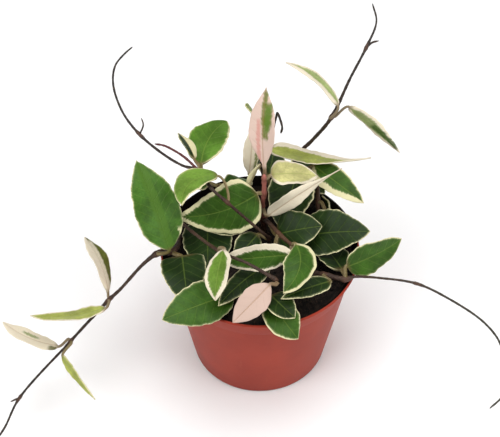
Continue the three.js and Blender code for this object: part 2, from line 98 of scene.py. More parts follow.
def piece_from(name, work, smooth=True):
    """A mesh object made from a bmesh, shaded smooth unless it is told otherwise."""
    mesh = bpy.data.meshes.new(name)
    work.to_mesh(mesh)
    work.free()
    for face in mesh.polygons:
        face.use_smooth = smooth
    piece = bpy.data.objects.new(name, mesh)
    bpy.context.scene.collection.objects.link(piece)
    return piece


def tone(red, green, blue):
    """A colour from its 0 to 255 screen values, as the linear colour that a shader wants."""
    linear = []
    for value in (red, green, blue):
        share = value / 255
        linear.append(((share + 0.055) / 1.055) ** 2.4 if share > 0.04045 else share / 12.92)
    return (*linear, 1.0)


class Reading:
    """A value that changes over a surface, as its finish is built. Arithmetic on it adds Math nodes."""

    def __init__(self, finish, socket):
        self.finish = finish
        self.socket = socket

    def __add__(self, other):
        return self.finish.math("ADD", self, other)

    __radd__ = __add__

    def __sub__(self, other):
        return self.finish.math("SUBTRACT", self, other)

    def __rsub__(self, other):
        return self.finish.math("SUBTRACT", other, self)

    def __mul__(self, other):
        return self.finish.math("MULTIPLY", self, other)

    __rmul__ = __mul__

    def __truediv__(self, other):
        return self.finish.math("DIVIDE", self, other)

    def __abs__(self):
        return self.finish.math("ABSOLUTE", self)


class Finish:
    """The finish of one surface. add() puts in a node, from its type, its settings, and the values or
    links of its sockets."""

    def __init__(self, name, roughness, gloss):
        self.material = bpy.data.materials.new(name)
        self.material.use_nodes = True
        self.tree = self.material.node_tree
        self.shader = self.tree.nodes["Principled BSDF"]
        self.paint({"Roughness": roughness, "Specular IOR Level": gloss})

    def add(self, kind, settings=None, sockets=None, out=0):
        node = self.tree.nodes.new(kind)
        for name, value in (settings or {}).items():
            setattr(node, name, value)
        for name, value in (sockets or {}).items():
            self.feed(node.inputs[name], value)
        return Reading(self, node.outputs[out])

    def feed(self, socket, value):
        if isinstance(value, Reading):
            self.tree.links.new(value.socket, socket)
        else:
            socket.default_value = value

    def math(self, operation, first, second=0.0):
        return self.add("ShaderNodeMath", {"operation": operation}, {0: first, 1: second})

    def split(self, place):
        """The three numbers of a place, or of a piece's marks, each as a reading."""
        outputs = self.add("ShaderNodeSeparateXYZ", None, {0: place}).socket.node.outputs
        return [Reading(self, output) for output in outputs]

    def blend(self, share, first, second):
        """A colour between two, by a share of the second. A Mix node's colour sockets are 6 and 7."""
        settings = {"data_type": "RGBA"}
        return self.add("ShaderNodeMix", settings, {0: share, 6: first, 7: second}, out=2)

    def rise(self, value, low, high):
        """0 below low, 1 above high, and a soft step between them."""
        settings = {"interpolation_type": "SMOOTHSTEP"}
        sockets = {"Value": value, "From Min": low, "From Max": high}
        return self.add("ShaderNodeMapRange", settings, sockets)

    def spots(self, place, scale, detail=3.0, roughness=0.55):
        """A cloudy pattern from 0 to 1, around 0.5."""
        sockets = {"Vector": place, "Scale": scale, "Detail": detail, "Roughness": roughness}
        return self.add("ShaderNodeTexNoise", None, sockets)

    def stretched(self, place, x, y, z, shift=(0.0, 0.0, 0.0)):
        """A place scaled along each axis, then shifted."""
        sockets = {0: place, 1: (x, y, z), 2: shift}
        return self.add("ShaderNodeVectorMath", {"operation": "MULTIPLY_ADD"}, sockets)

    def dent(self, height, distance):
        """Gives the surface a relief: where height is 1, it stands out by distance, in metres."""
        sockets = {"Height": height, "Distance": distance, "Strength": 1.0}
        bump = self.add("ShaderNodeBump", None, sockets)
        self.feed(self.shader.inputs["Normal"], bump)

    def paint(self, sockets):
        for name, value in sockets.items():
            self.feed(self.shader.inputs[name], value)


lip = WALL / 2
band_bottom = POT_HEIGHT - BAND_HEIGHT
floor_bend = FLOOR + FLOOR_CORNER
pot_work = turned([
    (0, 0),
    (BASE_RADIUS - CHAMFER, 0),
    (BASE_RADIUS, CHAMFER),
    (outer_radius(band_bottom), band_bottom),
    (RIM_RADIUS, POT_HEIGHT - lip),
    (RIM_RADIUS - lip / 2, POT_HEIGHT),
    (RIM_RADIUS - WALL + lip / 3, POT_HEIGHT),
    (inner_radius(POT_HEIGHT), POT_HEIGHT - lip),
    (inner_radius(band_bottom), band_bottom),
    (inner_radius(floor_bend), floor_bend),
    (inner_radius(FLOOR) - FLOOR_CORNER, FLOOR),
    (0, FLOOR),
], TURNING_STEPS)
sharp = [e for e in pot_work.edges if len(e.link_faces) == 2 and e.calc_face_angle() > SHARP_EDGE]
bmesh.ops.bevel(pot_work, geom=sharp, offset=EDGE_ROUNDING, offset_type="OFFSET", affect="EDGES",
                segments=2, profile=0.5, material=-1, clamp_overlap=True)
pot = piece_from("potted_pot", pot_work)

drain_work = bmesh.new()
for i in range(DRAIN_COUNT):
    angle = 2 * math.pi * i / DRAIN_COUNT
    place = Vector((math.cos(angle), math.sin(angle), 0)) * DRAIN_RING_RADIUS
    bmesh.ops.create_cone(drain_work, cap_ends=True, segments=DRAIN_SIDES, depth=4 * FLOOR,
                          radius1=DRAIN_RADIUS, radius2=DRAIN_RADIUS, matrix=Matrix.Translation(place))
drains = piece_from("drain_cutters", drain_work)
drilling = pot.modifiers.new("drains", "BOOLEAN")
drilling.object = drains
drilling.operation = "DIFFERENCE"
drilling.solver = "EXACT"
drilled = bpy.data.meshes.new_from_object(pot.evaluated_get(bpy.context.evaluated_depsgraph_get()))
pot.modifiers.clear()
pot.data = drilled
bpy.data.objects.remove(drains)

# Painted shade, with some staining from wet soil, makes the inner wall near-black, and behind the plant
# also the lip.
inner_shade_marks = pot.data.attributes.new("inner_shade_and_stain", "FLOAT", "POINT")
for vert, mark in zip(pot.data.vertices, inner_shade_marks.data):
    into_wall = outer_radius(vert.co.z) - vert.co.xy.length
    mark.value = 1.0 if into_wall > 0.7 * WALL else 0.0

plastic = Finish("terracotta_plastic", roughness=0.5, gloss=0.14)
spot = plastic.add("ShaderNodeTexCoord", out="Object")
cloud = plastic.spots(spot, scale=38.0, detail=4.0)
grain = plastic.spots(spot, scale=900.0, detail=2.0)
upright = plastic.stretched(spot, 260, 260, 40)
rub = plastic.rise(plastic.spots(upright, scale=1.0, detail=5.0, roughness=0.7), 0.60, 0.78)
colour = plastic.blend(plastic.rise(cloud, 0.3, 0.7), tone(*PLASTIC), tone(*PLASTIC_PALE))
colour = plastic.blend(rub * 0.15, colour, tone(*SCUFF))
_, depth, height = plastic.split(spot)
# Painted shade along the foot: darker towards the bottom edge, over the lowest 1.6 mm.
colour = plastic.blend((1 - plastic.rise(height, *FOOT_SHADE_HEIGHTS)) * 0.6, colour, tone(*FOOT_SHADE))
# Painted shade, with some soil staining: the inner wall and the lip behind the plant go near-black.
wall_shade_and_stain = plastic.add("ShaderNodeAttribute", {"attribute_name": "inner_shade_and_stain"}, out="Fac")
lip_shade_and_stain = plastic.rise(height, *LIP_SHADE_HEIGHTS) * plastic.rise(depth, *LIP_SHADE_DEPTHS)
shaded_and_stained = plastic.rise(wall_shade_and_stain + lip_shade_and_stain + (cloud - 0.5) * 0.5, 0.3, 0.7)
colour = plastic.blend(shaded_and_stained, colour, tone(*SHADE_AND_SOIL_STAIN))
plastic.paint({"Base Color": colour, "Roughness": 0.46 + cloud * 0.12 + rub * 0.08})
plastic.dent(cloud * 0.4 + grain * 0.12, 0.25 * MM)
pot.data.materials.clear()
pot.data.materials.append(plastic.material)
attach(pot, "root")
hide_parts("pot")

# ---------------------------------------------------------------- the soil
# Dark peat potting soil, filled nearly to the brim and settled into low lumps, with loose crumbs of
# peat and bark lying on it.
SOIL_TOP = 75 * MM
SOIL_LUMP = 0.8 * MM
GAP = 0.3 * MM
SOIL_RINGS = 46
CLODS_PER_METRE = 260
CRUMB_COUNT = 900
CRUMB_SMALLEST = 0.35 * MM
CRUMB_LARGEST = 1.15 * MM
WET_PEAT, DRY_PEAT, FIBRE = (14, 11, 10), (44, 34, 28), (92, 70, 52)
WET_BARK, DRY_BARK = (18, 14, 12), (66, 50, 38)


def soil_height(x, y):
    """The height of the soil at a place: broad lumps, finer ones across them, and ragged clods."""
    broad = math.sin(x / MM * 0.21 + 1) * math.cos(y / MM * 0.19)
    fine = math.sin(x / MM * 0.5 + y / MM * 0.4)
    clods = noise.fractal(Vector((x, y, 0)) * CLODS_PER_METRE, 0.9, 2.1, 4)
    return SOIL_TOP + SOIL_LUMP * (broad + 0.4 * fine + 0.7 * clods)


soil_edge = inner_radius(SOIL_TOP) - GAP
soil_bottom = FLOOR + GAP
soil_bend = soil_bottom + 2 * FLOOR_CORNER
soil_profile = [
    (0, soil_bottom),
    (inner_radius(soil_bottom) - GAP - 2 * FLOOR_CORNER, soil_bottom),
    (inner_radius(soil_bend) - GAP, soil_bend),
    (inner_radius(band_bottom) - GAP, band_bottom),
    (soil_edge, SOIL_TOP),
]
soil_profile += [((soil_edge - MM) * i / SOIL_RINGS, SOIL_TOP) for i in range(SOIL_RINGS, -1, -1)]
soil_work = turned(soil_profile, TURNING_STEPS)
for vert in soil_work.verts:
    if vert.co.z > SOIL_TOP - GAP and vert.co.xy.length < soil_edge - MM / 2:
        vert.co.z = soil_height(vert.co.x, vert.co.y)
soil = piece_from("peat_soil", soil_work)

peat = Finish("peat", roughness=0.95, gloss=0.25)
spot = peat.add("ShaderNodeTexCoord", out="Object")
clod = peat.spots(spot, scale=420.0, detail=5.0, roughness=0.65)
strands = peat.spots(peat.stretched(spot, 1500, 500, 900), scale=1.0)
earth = peat.blend(peat.rise(clod, 0.35, 0.7), tone(*WET_PEAT), tone(*DRY_PEAT))
earth = peat.blend(peat.rise(strands, 0.62, 0.72) * 0.6, earth, tone(*FIBRE))
peat.paint({"Base Color": earth})
peat.dent(clod, 0.8 * MM)
soil.data.materials.append(peat.material)
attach(soil, "root")
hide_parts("soil")

crumb_draw = random.Random(7)
crumb_work = bmesh.new()
for i in range(CRUMB_COUNT):
    reach = (soil_edge - 2 * MM) * math.sqrt(crumb_draw.random())
    angle = crumb_draw.uniform(0, 2 * math.pi)
    x, y = reach * math.cos(angle), reach * math.sin(angle)
    size = CRUMB_SMALLEST + (CRUMB_LARGEST - CRUMB_SMALLEST) * crumb_draw.random() ** 2
    turn = Euler([crumb_draw.uniform(0, 6.3) for _ in range(3)]).to_matrix().to_4x4()
    squash = Matrix.Diagonal((1.0, crumb_draw.uniform(0.5, 0.9), crumb_draw.uniform(0.35, 0.8), 1.0))
    seat = Matrix.Translation((x, y, soil_height(x, y) + size * 0.25))
    bmesh.ops.create_icosphere(crumb_work, subdivisions=1, radius=size, matrix=seat @ turn @ squash)
crumbs = piece_from("soil_crumbs", crumb_work, smooth=False)
bark_chip = Finish("bark_crumbs", roughness=0.9, gloss=0.25)
spot = bark_chip.add("ShaderNodeTexCoord", out="Object")
dryness = bark_chip.rise(bark_chip.spots(spot, scale=240.0, detail=1.0), 0.4, 0.75)
bark_chip.paint({"Base Color": bark_chip.blend(dryness, tone(*WET_BARK), tone(*DRY_BARK))})
bark_chip.dent(bark_chip.spots(spot, scale=2200.0), 0.3 * MM)
crumbs.data.materials.append(bark_chip.material)
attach(crumbs, "root")

# ---------------------------------------------------------------- the stems
# Half-woody stems that stand in the soil, twine upward or trail over the rim, and swell at each leaf
# node. The runners are thin and nearly bare, and young shoots join an older stem at a node. Lengths are
# in millimetres here, until wound() makes them metres, and rates in radians per millimetre.
STEM_SIDES = 12
STEM_STEP = 1.1
NODE_SWELL = 0.35
NODE_REACH = 2.6
ROOT_DEPTH = 12
RIDGE = 0.06
RIDGE_RATE = 1.7
HOLLOW = 0.05
HOLLOW_RATE = 0.63
TIP_ROUNDING = (0.85, 0.45)
DUSK, BARK, COCOA, CLAY = (30, 24, 20), (50, 31, 21), (78, 50, 32), (96, 62, 44)
MAROON, ROSE, LICHEN = (84, 34, 38), (176, 104, 94), (50, 52, 42)
STREAK, PORE = (168, 132, 104), (150, 124, 96)

# Points in millimetres, from the soil or from the stem that a shoot joins, each x, y, z and radius; the
# points that are leaf nodes; and the colour at each end.
stems = {
    "crown_stem": {
        "points": [(2, 17, 77, 1.6), (2, 16, 84, 1.6), (1, 16, 94, 1.4), (2, 15, 106, 1.2),
                   (2, 15, 117, 1.1), (2, 15, 120, 0.9)],
        "nodes": [1, 2, 3, 4], "colours": (BARK, ROSE)},
    "crown_side_shoot": {
        "joins": "crown_stem",
        "points": [(2, 16, 84, 1.3), (5, 7, 91, 1.2), (10, -4, 95, 1.1), (17, -14, 97, 1)],
        "nodes": [2, 3], "colours": (BARK, COCOA)},
    "upper_left_stem": {
        "points": [(5, 6, 77, 1.1), (4.5, 3, 84, 1), (1.7, -0.8, 92, 0.8), (-10, 1.5, 104.5, 0.8),
                   (-17, 3, 112, 0.8), (-25, 7.3, 117.8, 0.9), (-32, 21, 117, 0.9), (-40, 25, 116, 0.7),
                   (-50, 31, 118, 0.7), (-63, 40, 124, 0.7), (-72.3, 51, 130, 0.6), (-77, 61, 140, 0.6),
                   (-76, 69, 146, 0.55), (-71, 74, 150, 0.5), (-67, 77, 152, 0.45)],
        "nodes": [1, 4, 6, 9], "colours": (BARK, DUSK)},
    "upper_left_shoot": {
        "joins": "upper_left_stem",
        "points": [(-32, 21, 117, 0.7), (-39.3, 26, 121.5, 0.65), (-44.4, 28, 124.2, 0.6),
                   (-49.8, 32, 123.8, 0.6), (-55, 36, 121, 0.55)],
        "nodes": [], "colours": (MAROON, MAROON)},
    "upper_left_tendril": {
        "joins": "upper_left_stem",
        "points": [(-63, 40, 124, 0.5), (-61, 43, 128, 0.45), (-62, 46, 130, 0.4)],
        "nodes": [], "colours": (DUSK, BARK)},
    "upper_right_stem": {
        "points": [(16, 38, 77, 1.3), (17, 42, 86, 1.3), (20, 49, 98, 1.2), (28, 47, 113, 1),
                   (37, 41, 136, 1), (46, 49, 156, 0.7), (54, 59, 168, 0.65), (59, 69, 176, 0.5),
                   (57, 76, 182, 0.45)],
        "nodes": [1, 4, 6], "colours": (BARK, DUSK)},
    "upper_right_nub": {
        "joins": "upper_right_stem",
        "points": [(54, 59, 168, 0.7), (57, 60, 170, 0.6), (60, 60, 171, 0.5)],
        "nodes": [], "colours": (DUSK, BARK)},
    "left_stem": {
        "points": [(-42, 9, 77, 1.4), (-43, 5, 80, 1.4), (-43, -2, 84, 1.4), (-46, -8, 86, 1.4),
                   (-53, -10, 87, 1.5), (-60, -14, 84, 0.9), (-73, -22, 72, 0.85), (-79, -24, 66, 1),
                   (-100, -36, 46, 0.7), (-128, -56, 22, 0.6), (-137, -66.5, 8, 0.6),
                   (-146, -76, 1.2, 0.55), (-152, -80, 1, 0.5)],
        "nodes": [3, 4, 7, 8, 9], "colours": (BARK, DUSK)},
    "left_nub": {
        "joins": "left_stem",
        "points": [(-128, -56, 22, 0.6), (-130, -56.5, 21.6, 0.55), (-132.5, -57.5, 21, 0.5)],
        "nodes": [], "colours": (DUSK, BARK)},
    "front_left_stem": {
        "points": [(-38, 20, 77, 1.1), (-41, 17, 82, 1.1), (-41, 10, 88, 0.9), (-33, -2, 92, 0.85),
                   (-20.5, -21, 101.4, 1), (-14, -27, 104, 0.8), (-8, -30, 104, 0.8), (0, -34, 102, 0.9),
                   (8.7, -37, 97.6, 1.2)],
        "nodes": [4, 8], "colours": (COCOA, BARK)},
    "right_stem": {
        "points": [(21, -16, 77, 1.5), (25, -18, 81, 1.5), (33, -22, 84, 1.3), (43.7, -24, 83, 1.4),
                   (48.5, -23.3, 84, 0.75), (61.8, -25.8, 86, 0.6), (79.9, -29.5, 86, 0.6),
                   (97, -33.2, 78, 0.6), (116.2, -35.8, 62, 0.6), (126.5, -38.5, 47, 0.6),
                   (131, -43.5, 30, 0.6), (130.3, -51.2, 18, 0.55), (123.7, -55.1, 11, 0.5)],
        "nodes": [2, 3, 6], "colours": (BARK, LICHEN)},
    "front_stem": {
        "points": [(0, -27, 77, 1.2), (0, -31, 80.5, 1.1), (0, -34.5, 84, 1)],
        "nodes": [1, 2], "colours": (BARK, COCOA)},
    "back_stem": {
        "points": [(4, 34, 77, 1.3), (4, 36, 84, 1.3), (2, 37, 96, 1.2), (1, 37, 105, 1.1), (3, 36, 115, 1),
                   (6, 35, 130, 0.8), (8, 35, 141, 0.6), (8.7, 32.5, 146.8, 0.6), (10, 29, 145.6, 0.6),
                   (11, 26.5, 142.5, 0.55), (10.4, 26.5, 138.5, 0.8)],
        "nodes": [1, 3, 4], "colours": (BARK, DUSK)},
    "back_right_stem": {
        "points": [(32, 18, 77, 1.2), (31, 25, 88, 1.2), (30, 32, 96, 1.1), (24.5, 36, 101.5, 1)],
        "nodes": [0, 1, 3], "colours": (BARK, COCOA)},
    "back_left_stem": {
        "points": [(-20, 24, 77, 1.2), (-22, 28, 84, 1.1), (-22, 32, 93, 1)],
        "nodes": [1, 2], "colours": (BARK, COCOA)},
}


def on_curve(points, t):
    """The point at t, from 0 to 1 with each gap an equal share, of the smooth curve through the points."""
    gaps = len(points) - 1
    i = min(int(t * gaps), gaps - 1)
    f = t * gaps - i
    start, end = points[i], points[i + 1]
    before = points[i - 1] if i > 0 else 2 * start - end
    after = points[i + 2] if i + 1 < gaps else 2 * end - start
    first, middle, last = [math.sqrt(max((b - a).length, 1e-6))
                           for a, b in ((before, start), (start, end), (end, after))]
    leave = ((start - before) / first - (end - before) / (first + middle) + (end - start) / middle) * middle
    arrive = ((end - start) / middle - (after - start) / (middle + last) + (after - end) / last) * middle
    return (start * (2 * f ** 3 - 3 * f ** 2 + 1) + leave * (f ** 3 - 2 * f ** 2 + f)
            + end * (3 * f ** 2 - 2 * f ** 3) + arrive * (f ** 3 - f ** 2))


def heading(points, t):
    """The direction in which the curve runs at t."""
    low, high = max(0.0, t - 1e-4), min(1.0, t + 1e-4)
    return (on_curve(points, high) - on_curve(points, low)).normalized()


def wound(rows, sides, place, carried):
    """A capped tube wound from a flat sheet. place(row, side) gives each point, in millimetres, and what
    it carries: three numbers that the finish reads, kept on the mesh under the name carried."""
    sheet = bmesh.new()
    bmesh.ops.create_grid(sheet, x_segments=rows - 1, y_segments=sides, size=1)
    layer = sheet.verts.layers.float_vector.new(carried)
    for vert in sheet.verts:
        row = round((vert.co.x + 1) / 2 * (rows - 1))
        side = round((vert.co.y + 1) / 2 * sides) % sides
        point, marks = place(row, side)
        vert.co = point * MM
        vert[layer] = marks
    bmesh.ops.remove_doubles(sheet, verts=sheet.verts, dist=1e-7)
    bmesh.ops.holes_fill(sheet, edges=[e for e in sheet.edges if e.is_boundary])
    bmesh.ops.recalc_face_normals(sheet, faces=sheet.faces)
    return sheet


def stem_tube(stem):
    """One stem or shoot, with marks: millimetres along it, nearness to a node, and how far along it is,
    as a share of its length."""
    x, y, z, root_radius = stem["points"][0]
    root = [] if "joins" in stem else [(x, y, z - ROOT_DEPTH / k, root_radius) for k in (1, 2)]
    points = [Vector(row[:3]) for row in root + stem["points"]]
    radii = [row[3] for row in root + stem["points"]]
    nodes = [Vector(stem["points"][i][:3]) for i in stem["nodes"]]
    gaps = len(points) - 1
    stations = [0.0]
    for i in range(gaps):
        steps = max(2, round((points[i + 1] - points[i]).length / STEM_STEP))
        stations += [(i + (k + 1) / steps) / gaps for k in range(steps)]
    across = Vector((1, 0, 0))
    rings = []
    walked = 0.0
    for t in stations:
        centre = on_curve(points, t)
        walked += (centre - rings[-1][0]).length if rings else 0.0
        along = heading(points, t)
        across = (across - along * across.dot(along)).normalized()
        near = sum(math.exp(-(((centre - node).length / NODE_REACH) ** 2)) for node in nodes)
        ridge = (RIDGE + RIDGE * near) * math.sin(walked * RIDGE_RATE)
        ridge += HOLLOW * math.sin(walked * HOLLOW_RATE + 2)
        gap = min(gaps - 1, int(t * gaps))
        radius = radii[gap] + (radii[gap + 1] - radii[gap]) * (t * gaps - gap) + NODE_SWELL * near
        radius *= 1 + ridge
        rings.append([centre, along, across.copy(), radius, near, walked])
    for ring, share in zip(rings[-2:], TIP_ROUNDING):
        ring[3] *= share

    def place(row, side):
        centre, along, level, radius, near, run = rings[row]
        angle = 2 * math.pi * side / STEM_SIDES
        out = level * math.cos(angle) + along.cross(level) * math.sin(angle)
        return centre + out * radius, (run, near, run / rings[-1][5])

    return wound(len(rings), STEM_SIDES, place, "stem_place")


def stem_bark(name, root_colour, tip_colour):
    """Stem skin: streaked along its length, speckled with pale pores, and clay-brown at its nodes."""
    bark = Finish(name, roughness=0.55, gloss=0.4)
    marks = bark.add("ShaderNodeAttribute", {"attribute_name": "stem_place"}, out="Vector")
    run, near, share = bark.split(marks)
    spot = bark.add("ShaderNodeTexCoord", out="Object")
    streak = bark.spots(bark.stretched(spot, 900, 900, 350), scale=1.0, detail=4.0, roughness=0.6)
    pore = bark.rise(bark.spots(spot, scale=1900.0, detail=1.0), 0.62, 0.70)
    skin = bark.blend(bark.rise(share, 0.15, 0.85), tone(*root_colour), tone(*tip_colour))
    lighter = bark.blend(0.5, skin, tone(*STREAK))
    skin = bark.blend(bark.rise(streak, 0.45, 0.75) * 0.25, skin, lighter)
    skin = bark.blend(pore * 0.25, skin, tone(*PORE))
    skin = bark.blend(bark.rise(near, 0.25, 0.95) * 0.45, skin, tone(*CLAY))
    bark.paint({"Base Color": skin, "Roughness": 0.5 + streak * 0.2})
    bark.dent(streak * 0.7 + pore * 0.3, 0.18 * MM)
    return bark.material


for name, stem in stems.items():
    if "joins" in stem:
        continue
    work = stem_tube(stem)
    barks = [stem_bark(name + "_bark", *stem["colours"])]
    for shoot_name, shoot in stems.items():
        if shoot.get("joins") != name:
            continue
        branch = stem_tube(shoot)
        for face in branch.faces:
            face.material_index = len(barks)
        spare = bpy.data.meshes.new(shoot_name)
        branch.to_mesh(spare)
        branch.free()
        work.from_mesh(spare)
        bpy.data.meshes.remove(spare)
        barks.append(stem_bark(shoot_name + "_bark", *shoot["colours"]))
    vine = piece_from(name + "_vine", work)
    for bark in barks:
        vine.data.materials.append(bark)
    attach(vine, "root")
    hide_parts(name)

# ---------------------------------------------------------------- the leaves
# Thick, waxy, pointed leaves on short petioles. Each grew in one piece: green in the middle, cream or
# pink at its edges in a ragged border, with a pale midrib and faint side veins under a smooth skin.
# Lengths are in millimetres, roll and twist in degrees, waves in radians, and the rest are ratios.
LEAF_SIDES = 32
PETIOLE_ROWS = 12
BLADE_ROWS = 56
PETIOLE_TAPER = 0.15
PETIOLE_DEPTH = 0.4
PETIOLE_SPREAD = 1.15
PETIOLE_BEND_OUT = 0.15
PETIOLE_BEND_IN = 0.3
FOOT_FULLNESS = 0.85
FOOT_EDGE = 0.8
BLADE_THICKNESS = 1.7
EDGE_THICKNESS = 0.6
TIP_THINNING = 0.45
TIP_HALF_WIDTH = 0.3
FOOT_END = 0.16
WAVES_ALONG_EDGE = 9
WAVE_OFFSET = 2.2
TWIST_CENTRE = 0.4
RIPPLE = 0.4
RIPPLE_RATE = 1.1
SCALLOP = 0.035
SCALLOP_RATE = 0.9
SCALLOP_DRIFT = 0.37
EDGE_SQUARENESS = 10
CREASE_DEPTH = 0.22
CREASE_HALF_WIDTH = 0.7
CREASE_START = 4
VEIN_SPACING = 2.6
VEIN_SLANT = 0.8
PLAIN_LEAF = {"petiole": 1.1, "arch": 0.06, "sweep": 0, "twist": 0, "cup": 0.35, "wave": 0.05,
              "heel": 0.44, "point": 0.82}

# Painted shade: the darkest green here is a deep green darkened for the leaves that sit in shadow inside
# the plant.
SHADED_DEEP_GREEN, GREEN, LEAF = (24, 42, 10), (48, 78, 20), (54, 88, 24)
MEADOW, FRESH, MOSS = (72, 108, 30), (90, 120, 42), (80, 84, 32)
OLIVE, LIME, LEMON, SAGE = (98, 112, 30), (144, 150, 72), (172, 168, 112), (134, 146, 94)
CREAM, IVORY = (216, 210, 166), (224, 214, 190)
# Painted shade: one of these pinks is a darker copy of the blush, for a leaf that sits in shade.
BLUSH, SHADED_BLUSH, ROSE_STRIPE = (214, 188, 174), (200, 174, 160), (206, 150, 138)
VEIN_GREEN, FLUSH = (150, 170, 76), (224, 176, 158)
RIB_BROWN, PETIOLE_BROWN = (168, 130, 92), (106, 86, 52)

